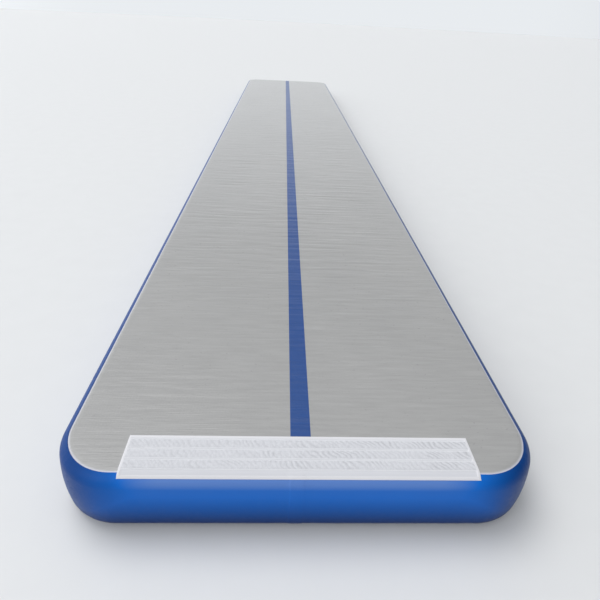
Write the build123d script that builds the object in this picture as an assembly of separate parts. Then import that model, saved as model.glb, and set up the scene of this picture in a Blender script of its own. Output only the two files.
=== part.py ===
from build123d import *
import os
from math import acos, asin, cos, degrees, radians, sin

# An inflated drop-stitch tumbling track. Two coated skins are held parallel by spacer yarns, an inner
# side wall closes the air space, and a blue side band covers the wall and laps over both shoulders.
# Frame: millimetres, +Z up, origin on the floor under the middle of the track. +Y runs along the
# track, away from the end with the joining pad. The valve is in the end wall at +Y.

# Inflated size, over the outside of the side band
LENGTH = 12000
WIDTH = 2000
THICKNESS = 300
CORNER_RADIUS = 270
SHOULDER_RADIUS = 65
WALL_BOW = 7.6
SEAM_ANGLE = 67.5

# Cloth layers, from the outside in, with a film of glue between them
BAND_CLOTH = 1.0
SKIN_CLOTH = 1.0
TAPE_CLOTH = 0.8
GLUE = 0.1
SKIN_DEPTH = BAND_CLOTH + GLUE
TAPE_DEPTH = SKIN_DEPTH + SKIN_CLOTH + GLUE

# Edge construction, as angles round the shoulder: 0 faces outwards and 90 faces up
BUTT_ANGLE = 45
BUTT_GAP = 0.2
EDGE_TAPE_START = 25
EDGE_TAPE_END = 65
BAND_LAP = 50
BAND_LAP_EDGE = 10
JOGGLE = 8
WALL_JOIN_X = -300
WALL_JOIN_GAP = 1
JOIN_TAPE_WIDTH = 80

# How far a cutting solid reaches past what it cuts
CUT_SPARE = 5

# Spacer yarns, gathered into bundles
YARN_RADIUS = 2
YARN_PITCH = 250
YARN_MARGIN = 150

# Deck markings and joining pad. Distances along the deck are measured from the near end.
LINE_WIDTH = 85
LINE_THICKNESS = 0.3
LINE_PAD_GAP = 2
PAD_WIDTH = 1400
PAD_BACK = 220
PAD_FRONT_ANGLE = 48
PAD_SEAM_GAP_ANGLE = 1
PAD_CLOTH = 0.8
HOOK_TAPE_WIDTH = 48
HOOK_TAPE_PITCH = 50
HOOK_TAPE_THICKNESS = 1.5
HOOK_TAPE_LENGTH = 1378
HOOK_ROWS_BACK = 204

# Valve. Distances along its axis are measured outwards from the back of the flange.
VALVE_X = 600
VALVE_PATCH_RADIUS = 60
VALVE_PATCH_CLOTH = 1.2
GASKET_THICKNESS = 1.0
GASKET_RADIUS = 32
FLANGE_RADIUS = 37
FLANGE_THICKNESS = 4
FLANGE_EDGE_RADIUS = 2
BARREL_RADIUS = 20
BARREL_END = -40
WALL_HOLE_RADIUS = 22
COLLAR_RADIUS = 18
COLLAR_TOP = 9
MOUTH_RADIUS = 15
MOUTH_END = -7
THROAT_RADIUS = 14
WEB_OUTER = -24
WEB_THICKNESS = 3
HUB_RADIUS = 7
HUB_END = -33
AIR_HOLE_RADIUS = 2.8
AIR_HOLE_CIRCLE = 10.3
AIR_HOLE_COUNT = 6
NUT_RADIUS = 31
NUT_THICKNESS = 8
NUT_NOTCH_COUNT = 8
NUT_NOTCH_RADIUS = 3

# Push stem and the parts on it
RUNNING_CLEARANCE = 0.05
STEM_RADIUS = 4
STEM_END = -48
BUTTON_RADIUS = 8
BUTTON_TOP = -8
BUTTON_THICKNESS = 3
BUTTON_EDGE_RADIUS = 1
SPRING_RADIUS = 6
SPRING_WIRE_RADIUS = 0.5
SPRING_TURNS = 4
SEAL_RADIUS = 19
SEAL_THICKNESS = 3
WASHER_RADIUS = 12
WASHER_THICKNESS = 1.5
RETAINER_RADIUS = 7
RETAINER_THICKNESS = 2.5

# Cap and tether
CLEARANCE = 0.3
CAP_RADIUS = 21
CAP_GRIP_RADIUS = 23
CAP_SKIRT_END = 4.4
CAP_LIP_RADIUS = 21.9
CAP_LIP_TOP = 5.0
CAP_GRIP_START = 7.6
CAP_TOP = 12.5
CAP_EDGE_RADIUS = 1.5
CAP_RIB_COUNT = 24
CAP_RIB_RADIUS = 0.8
CAP_SEAL_INNER = 15.3
CAP_SEAL_OUTER = 17.7
CAP_SEAL_THICKNESS = 1.4
TETHER_RING_OUTER = 25
TETHER_START = 5.3
TETHER_END = 7.3
TETHER_WIDTH = 12
HINGE_OFFSET = 30.5
HINGE_HEIGHT = 6.3
KNUCKLE_RADIUS = 1.8
TRUNNION_RADIUS = 1.2
TRUNNION_LENGTH = 2.5
LUG_THICKNESS = 3
LUG_RADIUS = 2.8
LUG_SINK = 1

# Worked out from the above
HALF_LENGTH = LENGTH / 2
HALF_WIDTH = WIDTH / 2
MID_HEIGHT = THICKNESS / 2
END_RUN = HALF_WIDTH - CORNER_RADIUS
SIDE_RUN = HALF_LENGTH - CORNER_RADIUS
SHOULDER_HEIGHT = MID_HEIGHT + SKIN_DEPTH - SHOULDER_RADIUS
WALL_RADIUS = SHOULDER_RADIUS + SHOULDER_HEIGHT / sin(radians(WALL_BOW))
SHOULDER_INSET = WALL_RADIUS - (WALL_RADIUS - SHOULDER_RADIUS) * cos(radians(WALL_BOW))
CAP_ROOF = COLLAR_TOP + CAP_SEAL_THICKNESS

# The outer gasket fills the space between the bowed wall and the flat back of the flange.
FLANGE_BACK = HALF_LENGTH + GLUE + VALVE_PATCH_CLOTH + GLUE + GASKET_THICKNESS
INNER_WALL_DEPTH = SKIN_DEPTH + SKIN_CLOTH
GASKET_SAG = WALL_RADIUS - (WALL_RADIUS**2 - GASKET_RADIUS**2) ** 0.5
NUT_FRONT = HALF_LENGTH - INNER_WALL_DEPTH - GLUE - GASKET_SAG - GASKET_THICKNESS - FLANGE_BACK


def edge_point(angle, depth):
    """A point of the edge section: its inset from the widest line, and its height from mid-thickness."""
    tilt = radians(abs(angle))
    side = 1 if angle >= 0 else -1
    if abs(angle) <= WALL_BOW:
        radius = WALL_RADIUS - depth
        return WALL_RADIUS - radius * cos(tilt), side * radius * sin(tilt)
    radius = SHOULDER_RADIUS - depth
    return SHOULDER_INSET - radius * cos(tilt), side * (SHOULDER_HEIGHT + radius * sin(tilt))


def edge_arcs(start, end, depth):
    """The arcs of the edge section from one angle to another, at one depth under the outside."""
    breaks = [start, *(a for a in (-WALL_BOW, WALL_BOW) if start < a < end), end]
    spans = zip(breaks, breaks[1:])
    return [
        ThreePointArc(edge_point(a, depth), edge_point((a + b) / 2, depth), edge_point(b, depth))
        for a, b in spans
    ]


def edge_strip(start, end, depth, thickness):
    """The section of one cloth layer, as a face with X inwards and Y up."""
    inner = depth + thickness
    ends = [Line(edge_point(angle, depth), edge_point(angle, inner)) for angle in (start, end)]
    return make_face(edge_arcs(start, end, depth) + edge_arcs(start, end, inner) + ends)


def deck_strip(back, front_angle, depth, thickness):
    """The section of a layer that lies on the deck and turns down over the near shoulder."""
    inner = depth + thickness
    edges = []
    for level in (depth, inner):
        start = edge_point(90, level)
        edges.append(Line((back, start[1]), start))
        edges += edge_arcs(front_angle, 90, level)
    edges.append(Line((back, edge_point(90, depth)[1]), (back, edge_point(90, inner)[1])))
    edges.append(Line(edge_point(front_angle, depth), edge_point(front_angle, inner)))
    return make_face(edges)


def near_end_plane(x):
    """The plane that a section is drawn on to run along the near end wall towards -X."""
    return Plane(origin=(x, -HALF_LENGTH, MID_HEIGHT), x_dir=(0, 1, 0), z_dir=(1, 0, 0))


def run_near_end(section, start_x, end_x):
    """Extrudes a section along the near end wall, between two X positions."""
    return extrude(near_end_plane(start_x) * section, end_x - start_x)


def half_ring(section, near_x, far_x):
    """Carries a section round the left half of the track, from near_x to far_x past the middle."""
    near_end = run_near_end(section, -END_RUN, near_x)
    near_corner = revolve(near_end_plane(-END_RUN) * section, Axis((-END_RUN, -SIDE_RUN, 0), (0, 0, -1)), 90)
    side_plane = Plane(origin=(-HALF_WIDTH, -SIDE_RUN, MID_HEIGHT), x_dir=(1, 0, 0), z_dir=(0, -1, 0))
    side = extrude(side_plane * section, -2 * SIDE_RUN)
    far_corner = mirror(near_corner, Plane.XZ)
    far_end = mirror(run_near_end(section, -END_RUN, far_x), Plane.XZ)
    return near_end + near_corner + side + far_corner + far_end


def full_ring(section):
    """Carries a section all the way round the track."""
    left = half_ring(section, 0, 0)
    return left + mirror(left, Plane.YZ)


def valve_disc(radius, start, end, offset_x=0, offset_z=0):
    """A round bar along the valve's axis, or beside it."""
    origin = (VALVE_X + offset_x, FLANGE_BACK + start, MID_HEIGHT + offset_z)
    return extrude(Plane(origin=origin, x_dir=(1, 0, 0), z_dir=(0, 1, 0)) * Circle(radius), end - start)


def valve_tube(outer, inner, start, end):
    """A round tube on the valve's axis."""
    return valve_disc(outer, start, end) - valve_disc(inner, start, end)


def around_valve(radius, count):
    """The offsets of a ring of places round the valve's axis."""
    return [
        (radius * cos(radians(360 / count * i)), radius * sin(radians(360 / count * i)))
        for i in range(count)
    ]


def wall_drum(depth):
    """The round bow of the far end wall beside the valve, as a bar at one depth under the outside."""
    axis = (VALVE_X, HALF_LENGTH - WALL_RADIUS, MID_HEIGHT)
    section = Plane(origin=axis, x_dir=(0, 1, 0), z_dir=(1, 0, 0)) * Circle(WALL_RADIUS - depth)
    return extrude(section, VALVE_PATCH_RADIUS + CUT_SPARE, both=True)


def make_top_skin():
    inset = SHOULDER_INSET
    plan = RectangleRounded(WIDTH - 2 * inset, LENGTH - 2 * inset, CORNER_RADIUS - inset)
    plate = extrude(Pos(0, 0, THICKNESS - SKIN_CLOTH) * plan, SKIN_CLOTH)
    return plate + full_ring(edge_strip(BUTT_ANGLE, 90, SKIN_DEPTH, SKIN_CLOTH))


def make_bottom_skin():
    return mirror(make_top_skin(), Plane.XY.offset(MID_HEIGHT))


def make_spacer_yarns():
    span_x = WIDTH - 2 * YARN_MARGIN
    span_y = LENGTH - 2 * YARN_MARGIN
    count_x = int(span_x // YARN_PITCH) + 1
    count_y = int(span_y // YARN_PITCH) + 1
    height = THICKNESS - 2 * SKIN_CLOTH
    places = GridLocations(YARN_PITCH, YARN_PITCH, count_x, count_y)
    bundle = Pos(0, 0, SKIN_CLOTH) * extrude(Circle(YARN_RADIUS), height)
    return Compound([place * bundle.solid() for place in places])


def make_inner_sidewall():
    edge = BUTT_ANGLE - BUTT_GAP
    wall = full_ring(edge_strip(-edge, edge, SKIN_DEPTH, SKIN_CLOTH))
    join = Pos(WALL_JOIN_X, HALF_LENGTH, MID_HEIGHT) * Box(WALL_JOIN_GAP, 2 * SHOULDER_INSET, THICKNESS)
    return wall - join - valve_disc(WALL_HOLE_RADIUS, BARREL_END, COLLAR_TOP)


def make_inner_sidewall_join_tape():
    edge = EDGE_TAPE_START - BUTT_GAP
    section = edge_strip(-edge, edge, TAPE_DEPTH, TAPE_CLOTH)
    half = JOIN_TAPE_WIDTH / 2
    return mirror(run_near_end(section, WALL_JOIN_X - half, WALL_JOIN_X + half), Plane.XZ)


def make_top_edge_tape():
    return full_ring(edge_strip(EDGE_TAPE_START, EDGE_TAPE_END, TAPE_DEPTH, TAPE_CLOTH))


def make_bottom_edge_tape():
    return mirror(make_top_edge_tape(), Plane.XY.offset(MID_HEIGHT))


def make_left_sidewall():
    """The band's near end steps out over the other half, and its far end lies under it."""
    section = edge_strip(-SEAM_ANGLE, SEAM_ANGLE, 0, BAND_CLOTH)
    raised = edge_strip(-SEAM_ANGLE, SEAM_ANGLE, -SKIN_DEPTH, BAND_CLOTH)
    step_start = -BAND_LAP
    step_end = step_start + JOGGLE
    band = half_ring(section, step_start, BAND_LAP - BAND_LAP_EDGE)
    step = loft([near_end_plane(step_start) * section, near_end_plane(step_end) * raised], ruled=True)
    return band + step + run_near_end(raised, step_end, BAND_LAP_EDGE)


def make_right_sidewall():
    band = make_left_sidewall().rotate(Axis.Z, 180)
    return band - valve_disc(WALL_HOLE_RADIUS, BARREL_END, COLLAR_TOP)


def make_centre_line():
    start = -HALF_LENGTH + PAD_BACK + LINE_PAD_GAP
    end = HALF_LENGTH - SHOULDER_INSET
    middle = Pos(0, (start + end) / 2, THICKNESS + GLUE + LINE_THICKNESS / 2)
    return middle * Box(LINE_WIDTH, end - start, LINE_THICKNESS)


def make_joining_pad_base():
    """The pad lies on the deck and over the edge of the side band, and rises over the band's lap."""
    half = PAD_WIDTH / 2
    outside = -GLUE - PAD_CLOTH
    seam_clear = SEAM_ANGLE + PAD_SEAM_GAP_ANGLE
    cut_front = PAD_FRONT_ANGLE - PAD_SEAM_GAP_ANGLE
    on_deck = deck_strip(PAD_BACK, seam_clear, outside, SKIN_DEPTH - GLUE - outside)
    on_band = edge_strip(PAD_FRONT_ANGLE, seam_clear, outside, PAD_CLOTH)
    on_lap = edge_strip(PAD_FRONT_ANGLE, seam_clear, outside - SKIN_DEPTH, PAD_CLOTH + SKIN_DEPTH)
    lap_room = edge_strip(cut_front, SEAM_ANGLE + BUTT_GAP, -SKIN_DEPTH - GLUE, SKIN_DEPTH + GLUE)
    pad = run_near_end(on_deck, -half, half) + run_near_end(on_band, -half, half)
    pad += run_near_end(on_lap, -BAND_LAP - BAND_CLOTH, BAND_LAP_EDGE + BAND_CLOTH)
    return pad - run_near_end(lap_room, -BAND_LAP - GLUE, BAND_LAP_EDGE + GLUE)


def make_hook_tape(row):
    """One row of hook tape. Row 0 is the furthest from the end of the track."""
    back = HOOK_ROWS_BACK - row * HOOK_TAPE_PITCH
    front = back - HOOK_TAPE_WIDTH
    outside = -GLUE - PAD_CLOTH - GLUE - HOOK_TAPE_THICKNESS
    half = HOOK_TAPE_LENGTH / 2
    if front < SHOULDER_INSET:
        front_angle = degrees(acos((SHOULDER_INSET - front) / (SHOULDER_RADIUS - outside)))
        return run_near_end(deck_strip(back, front_angle, outside, HOOK_TAPE_THICKNESS), -half, half)
    top = edge_point(90, outside)[1] + MID_HEIGHT
    middle = Pos(0, -HALF_LENGTH + (back + front) / 2, top - HOOK_TAPE_THICKNESS / 2)
    return middle * Box(2 * half, HOOK_TAPE_WIDTH, HOOK_TAPE_THICKNESS)


def make_valve_patch():
    reach = VALVE_PATCH_RADIUS + CUT_SPARE
    angle = degrees(asin(reach / WALL_RADIUS))
    section = edge_strip(-angle, angle, -GLUE - VALVE_PATCH_CLOTH, VALVE_PATCH_CLOTH)
    sheet = mirror(run_near_end(section, VALVE_X - reach, VALVE_X + reach), Plane.XZ)
    disc = valve_tube(VALVE_PATCH_RADIUS, WALL_HOLE_RADIUS, BARREL_END, COLLAR_TOP)
    return sheet & disc


def make_valve_outer_gasket():
    behind = wall_drum(-GLUE - VALVE_PATCH_CLOTH - GLUE)
    return valve_tube(GASKET_RADIUS, WALL_HOLE_RADIUS, NUT_FRONT, 0) - behind


def make_valve_inner_gasket():
    ring = valve_tube(GASKET_RADIUS, WALL_HOLE_RADIUS, NUT_FRONT, 0)
    return ring & wall_drum(INNER_WALL_DEPTH + GLUE)


def make_valve_body():
    flange = valve_disc(FLANGE_RADIUS, 0, FLANGE_THICKNESS)
    flange = fillet(flange.edges().group_by(Axis.Y)[-1], FLANGE_EDGE_RADIUS)
    barrel = valve_disc(BARREL_RADIUS, BARREL_END, 0)
    collar = valve_disc(COLLAR_RADIUS, 0, COLLAR_TOP)
    web_inner = WEB_OUTER - WEB_THICKNESS
    body = flange + barrel + collar
    body -= valve_disc(MOUTH_RADIUS, MOUTH_END, COLLAR_TOP)
    body -= valve_disc(THROAT_RADIUS, WEB_OUTER, MOUTH_END)
    body -= valve_disc(THROAT_RADIUS, BARREL_END, web_inner)
    body += valve_disc(HUB_RADIUS, HUB_END, web_inner)
    body -= valve_disc(STEM_RADIUS + RUNNING_CLEARANCE, HUB_END, WEB_OUTER)
    for x, z in around_valve(AIR_HOLE_CIRCLE, AIR_HOLE_COUNT):
        body -= valve_disc(AIR_HOLE_RADIUS, web_inner, WEB_OUTER, x, z)
    return body + make_tether_lugs()


def make_tether_lugs():
    """Two ears on the flange, below the mouth, that the tether's trunnions turn in."""
    lugs = []
    for side in (-1, 1):
        x = side * (TETHER_WIDTH / 2 + CLEARANCE + LUG_THICKNESS / 2)
        axis_y = FLANGE_BACK + HINGE_HEIGHT
        axis_z = MID_HEIGHT - HINGE_OFFSET
        plane = Plane(origin=(VALVE_X + x, axis_y, axis_z), x_dir=(0, 1, 0), z_dir=(1, 0, 0))
        foot = HINGE_HEIGHT - FLANGE_THICKNESS + LUG_SINK
        profile = Circle(LUG_RADIUS) + Pos(-foot / 2, 0) * Rectangle(foot, 2 * LUG_RADIUS)
        profile -= Circle(TRUNNION_RADIUS + RUNNING_CLEARANCE)
        lugs.append(extrude(plane * profile, LUG_THICKNESS / 2, both=True))
    return lugs[0] + lugs[1]


def make_valve_clamp_nut():
    nut = valve_tube(NUT_RADIUS, BARREL_RADIUS + RUNNING_CLEARANCE, NUT_FRONT - NUT_THICKNESS, NUT_FRONT)
    for x, z in around_valve(NUT_RADIUS, NUT_NOTCH_COUNT):
        nut -= valve_disc(NUT_NOTCH_RADIUS, NUT_FRONT - NUT_THICKNESS, NUT_FRONT, x, z)
    return nut


def make_valve_stem():
    button = valve_disc(BUTTON_RADIUS, BUTTON_TOP - BUTTON_THICKNESS, BUTTON_TOP)
    button = fillet(button.edges().group_by(Axis.Y)[-1], BUTTON_EDGE_RADIUS)
    return button + valve_disc(STEM_RADIUS, STEM_END, BUTTON_TOP - BUTTON_THICKNESS)


def make_valve_spring():
    """A coil between the web and the underside of the button, clear of both by a hair."""
    room = BUTTON_TOP - BUTTON_THICKNESS - WEB_OUTER
    height = room - 2 * SPRING_WIRE_RADIUS - 2 * GLUE
    start = FLANGE_BACK + WEB_OUTER + SPRING_WIRE_RADIUS + GLUE
    coil = Helix(height / SPRING_TURNS, height, SPRING_RADIUS)
    wire = Plane(coil @ 0, z_dir=coil % 0) * Circle(SPRING_WIRE_RADIUS)
    spring = sweep(wire, path=coil, is_frenet=True)
    return Pos(VALVE_X, start, MID_HEIGHT) * Rot(-90, 0, 0) * spring


def make_valve_seal():
    return valve_tube(SEAL_RADIUS, STEM_RADIUS + RUNNING_CLEARANCE, BARREL_END - SEAL_THICKNESS, BARREL_END)


def make_valve_seal_washer():
    front = BARREL_END - SEAL_THICKNESS
    return valve_tube(WASHER_RADIUS, STEM_RADIUS + RUNNING_CLEARANCE, front - WASHER_THICKNESS, front)


def make_valve_stem_retainer():
    front = BARREL_END - SEAL_THICKNESS - WASHER_THICKNESS - GLUE
    return valve_tube(RETAINER_RADIUS, STEM_RADIUS + RUNNING_CLEARANCE / 2, front - RETAINER_THICKNESS, front)


def make_valve_cap():
    """A cup over the collar, with a groove in its skirt that the tether's ring sits in."""
    cap = valve_disc(CAP_RADIUS, CAP_SKIRT_END, CAP_GRIP_START)
    cap += valve_disc(CAP_LIP_RADIUS, CAP_SKIRT_END, CAP_LIP_TOP)
    grip = valve_disc(CAP_GRIP_RADIUS, CAP_GRIP_START, CAP_TOP)
    cap += fillet(grip.edges().group_by(Axis.Y)[-1], CAP_EDGE_RADIUS)
    cap -= valve_disc(COLLAR_RADIUS + CLEARANCE, CAP_SKIRT_END, CAP_ROOF)
    for x, z in around_valve(CAP_GRIP_RADIUS, CAP_RIB_COUNT):
        cap -= valve_disc(CAP_RIB_RADIUS, CAP_GRIP_START, CAP_TOP, x, z)
    return cap


def make_valve_cap_seal():
    return valve_tube(CAP_SEAL_OUTER, CAP_SEAL_INNER, COLLAR_TOP, CAP_ROOF)


def make_valve_cap_tether():
    """A loose ring round the cap, and a strap down to a knuckle with a trunnion on each side."""
    ring = valve_disc(TETHER_RING_OUTER, TETHER_START, TETHER_END)
    thickness = TETHER_END - TETHER_START
    strap_middle = (VALVE_X, FLANGE_BACK + TETHER_START + thickness / 2, MID_HEIGHT - HINGE_OFFSET / 2)
    strap = Pos(*strap_middle) * Box(TETHER_WIDTH, thickness, HINGE_OFFSET)
    hinge = (VALVE_X, FLANGE_BACK + HINGE_HEIGHT, MID_HEIGHT - HINGE_OFFSET)
    knuckle_plane = Plane(origin=hinge, x_dir=(0, 1, 0), z_dir=(1, 0, 0))
    knuckle = extrude(knuckle_plane * Circle(KNUCKLE_RADIUS), TETHER_WIDTH / 2, both=True)
    reach = TETHER_WIDTH / 2 + CLEARANCE + TRUNNION_LENGTH
    trunnions = extrude(knuckle_plane * Circle(TRUNNION_RADIUS), reach, both=True)
    hole = valve_disc(CAP_RADIUS + CLEARANCE, TETHER_START, TETHER_END)
    return ring + strap + knuckle + trunnions - hole


MAKERS = {
    "top_skin": make_top_skin,
    "bottom_skin": make_bottom_skin,
    "spacer_yarns": make_spacer_yarns,
    "inner_sidewall": make_inner_sidewall,
    "inner_sidewall_join_tape": make_inner_sidewall_join_tape,
    "top_edge_tape": make_top_edge_tape,
    "bottom_edge_tape": make_bottom_edge_tape,
    "left_sidewall": make_left_sidewall,
    "right_sidewall": make_right_sidewall,
    "centre_line": make_centre_line,
    "joining_pad_base": make_joining_pad_base,
    "hook_tape_back": lambda: make_hook_tape(0),
    "hook_tape_middle": lambda: make_hook_tape(1),
    "hook_tape_front": lambda: make_hook_tape(2),
    "valve_patch": make_valve_patch,
    "valve_outer_gasket": make_valve_outer_gasket,
    "valve_inner_gasket": make_valve_inner_gasket,
    "valve_clamp_nut": make_valve_clamp_nut,
    "valve_body": make_valve_body,
    "valve_stem": make_valve_stem,
    "valve_spring": make_valve_spring,
    "valve_seal": make_valve_seal,
    "valve_seal_washer": make_valve_seal_washer,
    "valve_stem_retainer": make_valve_stem_retainer,
    "valve_cap": make_valve_cap,
    "valve_cap_seal": make_valve_cap_seal,
    "valve_cap_tether": make_valve_cap_tether,
}

os.makedirs("parts", exist_ok=True)
for name, make in MAKERS.items():
    export_step(make(), f"parts/{name}.step")
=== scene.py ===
from math import asin, cos, pi, radians, sin, tau

import bpy
import numpy as np
from mathutils import Matrix, Vector


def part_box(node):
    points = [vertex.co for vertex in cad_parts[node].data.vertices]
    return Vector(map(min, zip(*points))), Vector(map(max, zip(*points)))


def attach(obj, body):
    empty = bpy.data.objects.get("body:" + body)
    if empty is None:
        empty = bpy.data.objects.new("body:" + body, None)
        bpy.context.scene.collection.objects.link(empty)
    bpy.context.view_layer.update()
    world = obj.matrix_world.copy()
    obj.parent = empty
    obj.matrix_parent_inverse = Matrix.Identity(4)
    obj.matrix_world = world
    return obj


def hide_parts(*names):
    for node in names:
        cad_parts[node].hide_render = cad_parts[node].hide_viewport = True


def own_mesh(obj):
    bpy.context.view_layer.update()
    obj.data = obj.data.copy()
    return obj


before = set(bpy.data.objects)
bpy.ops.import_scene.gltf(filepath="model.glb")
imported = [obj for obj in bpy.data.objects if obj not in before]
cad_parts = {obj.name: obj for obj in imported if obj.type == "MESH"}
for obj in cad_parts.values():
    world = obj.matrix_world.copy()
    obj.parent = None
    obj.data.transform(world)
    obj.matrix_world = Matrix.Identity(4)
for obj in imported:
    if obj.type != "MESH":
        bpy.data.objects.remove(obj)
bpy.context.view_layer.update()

# An inflated tumbling track. Metres, in the frame of the CAD model: the origin is on the floor under the
# middle, and +Y runs along the track, away from the end with the joining pad.
# Every cloth piece is a closed layer with its real thickness, built from one edge section that runs round
# the track: angle 0 faces outwards, 90 faces up, and depth is measured in from the outside of the band.
# Angles are in degrees.

MM = 0.001

# Cloth layers and the glue between them
BAND_CLOTH = 1.0 * MM
SKIN_CLOTH = 1.0 * MM
TAPE_CLOTH = 0.8 * MM
GLUE = 0.1 * MM
SKIN_DEPTH = BAND_CLOTH + GLUE
TAPE_DEPTH = SKIN_DEPTH + SKIN_CLOTH + GLUE

# Inflated size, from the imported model
inner_wall_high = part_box("inner_sidewall")[1]
HALF_WIDTH = inner_wall_high.x + SKIN_DEPTH
HALF_LENGTH = inner_wall_high.y + SKIN_DEPTH
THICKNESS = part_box("top_skin")[1].z
MID_HEIGHT = THICKNESS / 2

# Edge section: a slightly bowed wall up to an angle of WALL_BOW, and then the round shoulder.
# The band ends at the seam, and the inner wall butts on the skins further down.
CORNER_RADIUS = 0.27
SHOULDER_RADIUS = 0.065
WALL_BOW = 7.6
SEAM_ANGLE = 67.5
BUTT_ANGLE = 45
EDGE_TAPE_ANGLES = (25, 65)
SHOULDER_HEIGHT = MID_HEIGHT + SKIN_DEPTH - SHOULDER_RADIUS
WALL_RADIUS = SHOULDER_RADIUS + SHOULDER_HEIGHT / sin(radians(WALL_BOW))
SHOULDER_INSET = WALL_RADIUS - (WALL_RADIUS - SHOULDER_RADIUS) * cos(radians(WALL_BOW))
PLAN_RADIUS = CORNER_RADIUS - SHOULDER_INSET
END_RUN = HALF_WIDTH - CORNER_RADIUS
SIDE_RUN = HALF_LENGTH - CORNER_RADIUS

# The lap of the two side bands
BAND_LAP = 50 * MM
BAND_LAP_EDGE = 10 * MM
JOGGLE = 8 * MM

# Skins: the rows and columns of the flat, and the angles of the rings that go down the shoulder
LINE_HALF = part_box("centre_line")[1].x
DECK_COLUMNS = 12
CORNER_ROWS = 20
ROW_STEP = 10 * MM
SKIN_ANGLES = (84, 77, 73, 70, SEAM_ANGLE, 56, BUTT_ANGLE)

# Drop-stitch ripples of the skins: crosswise ribs a few centimetres apart
RIPPLE_LENGTH = 0.30
RIPPLE_PITCH = 26 * MM
RIPPLE_HEIGHT = 1.1 * MM
RIPPLE_FADE = 90 * MM

# The deck's pale margin at the seam, a painted highlight on the shoulder, as an angle of the shoulder
SEAM_HIGHLIGHT_ANGLE = 9

# Joining pad. A run is a distance down it, measured from the start of the shoulder towards the front.
PAD_RISE = 0.8 * MM + GLUE
PAD_FRONT_ANGLE = 48
HEM_WIDTH = 13 * MM
HEM_CLOTH = 0.45 * MM
TAPE_THICKNESS = 1.1 * MM
SELVAGE_WIDTH = 3 * MM
SELVAGE_CLOTH = 0.35 * MM
PUCKER_PITCH = 23 * MM
PUCKER_SLANT = 0.8
PUCKER_HEIGHT = 1.7 * MM
PAD_COLUMNS, PAD_ROWS = 201, 56
TAPE_COLUMNS = 421
STITCH_PITCH = 4.2 * MM
STITCH_LENGTH = 3.1 * MM
STITCH_RADIUS = 0.35 * MM
STITCH_INSET = 2.5 * MM
STITCH_SIDES = 6
# Rings of points along one stitch: the share of its length, and of its radius
STITCH_RINGS = ((0.0, 0.25), (0.14, 0.85), (0.5, 1.0), (0.86, 0.85), (1.0, 0.25))
pad_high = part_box("joining_pad_base")[1]
PAD_HALF = pad_high.x
PAD_BACK_RUN = SHOULDER_INSET - HALF_LENGTH - pad_high.y
PAD_FRONT_RUN = radians(90 - PAD_FRONT_ANGLE) * SHOULDER_RADIUS
SEAM_RUN = radians(90 - SEAM_ANGLE) * SHOULDER_RADIUS

# Valve. The wall's grid has a finer square block for the valve's hole, which reaches VALVE_BLOCK each way.
VALVE_PATCH_CLOTH = 1.2 * MM
WALL_HOLE_RADIUS = 22 * MM
VALVE_BLOCK = 36 * MM
VALVE_STEP = 6 * MM
valve_patch_low, valve_patch_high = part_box("valve_patch")
VALVE_X = (valve_patch_low.x + valve_patch_high.x) / 2
VALVE_PATCH_RADIUS = (valve_patch_high.x - valve_patch_low.x) / 2

# Valve spring. Closed ends is how much closer together the end turns are wound, from 0 to 1.
SPRING_TURNS = 4
SPRING_WIRE_RADIUS = 0.5 * MM
SPRING_CLOSED_ENDS = 0.75

# Spacer yarns, in bundles of several twisted ends
YARN_PITCH = 0.25
YARN_RADIUS = 2 * MM
YARN_END_RADIUS = 0.5 * MM
YARN_ENDS = 5
YARN_SIDES = 4
YARN_LEVELS = 9

# Noise: the side of its lattice, and the seeds. A piece also uses the few numbers after its own seed.
NOISE_CELLS = 512
DECK_SEED = 3
UNDERSIDE_SEED = 13
LEFT_BAND_SEED = 21
RIGHT_BAND_SEED = 24
PAD_SEED = 31
TAPE_SEED = 40
PATCH_SEED = 71
YARN_SEED = 90


# ---------------------------------------------------------------- shared shapes

def fade(value, start, end):
    """0 before start, 1 after end, and smooth between."""
    t = np.clip((value - start) / (end - start), 0, 1)
    return t * t * (3 - 2 * t)


def noise(u, v, seed):
    """Smooth noise from -1 to 1, with cells one unit wide."""
    lattice = np.random.default_rng(seed).uniform(-1, 1, (NOISE_CELLS, NOISE_CELLS))
    u, v = np.broadcast_arrays(u, v)
    i, j = np.floor(u).astype(int), np.floor(v).astype(int)
    a, b = fade(u - i, 0, 1), fade(v - j, 0, 1)
    left, right = i % NOISE_CELLS, (i + 1) % NOISE_CELLS
    rows = (j % NOISE_CELLS, (j + 1) % NOISE_CELLS)
    near, far = (lattice[left, row] * (1 - a) + lattice[right, row] * a for row in rows)
    return near * (1 - b) + far * b


def edge_point(angle, depth):
    """A point of the edge section: its inset from the widest line, and its height from mid-thickness."""
    tilt = np.radians(np.abs(angle))
    on_wall = np.abs(angle) <= WALL_BOW
    radius = np.where(on_wall, WALL_RADIUS, SHOULDER_RADIUS) - depth
    inset = np.where(on_wall, WALL_RADIUS, SHOULDER_INSET) - radius * np.cos(tilt)
    height = np.where(on_wall, 0, SHOULDER_HEIGHT) + radius * np.sin(tilt)
    return inset, np.sign(angle) * height


def edge_walk(angle):
    """The distance along the outside of the section from its middle to an angle."""
    on_wall = np.minimum(np.abs(angle), WALL_BOW)
    on_shoulder = np.abs(angle) - on_wall
    return np.sign(angle) * (np.radians(on_wall) * WALL_RADIUS + np.radians(on_shoulder) * SHOULDER_RADIUS)


def section_angles(end, shoulder_step=4.0):
    """Angles round the section from -end to end, closer together on the shoulders and beside the valve."""
    block = np.degrees(VALVE_BLOCK / WALL_RADIUS)
    at_valve = np.linspace(-block, block, round(2 * VALVE_BLOCK / VALVE_STEP) + 1)
    wall = np.linspace(block, WALL_BOW, 4)[1:]
    shoulder = np.linspace(WALL_BOW, end, round((end - WALL_BOW) / shoulder_step) + 1)[1:]
    above = np.concatenate([wall, shoulder])
    return np.concatenate([-above[::-1], at_valve, above])


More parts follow.
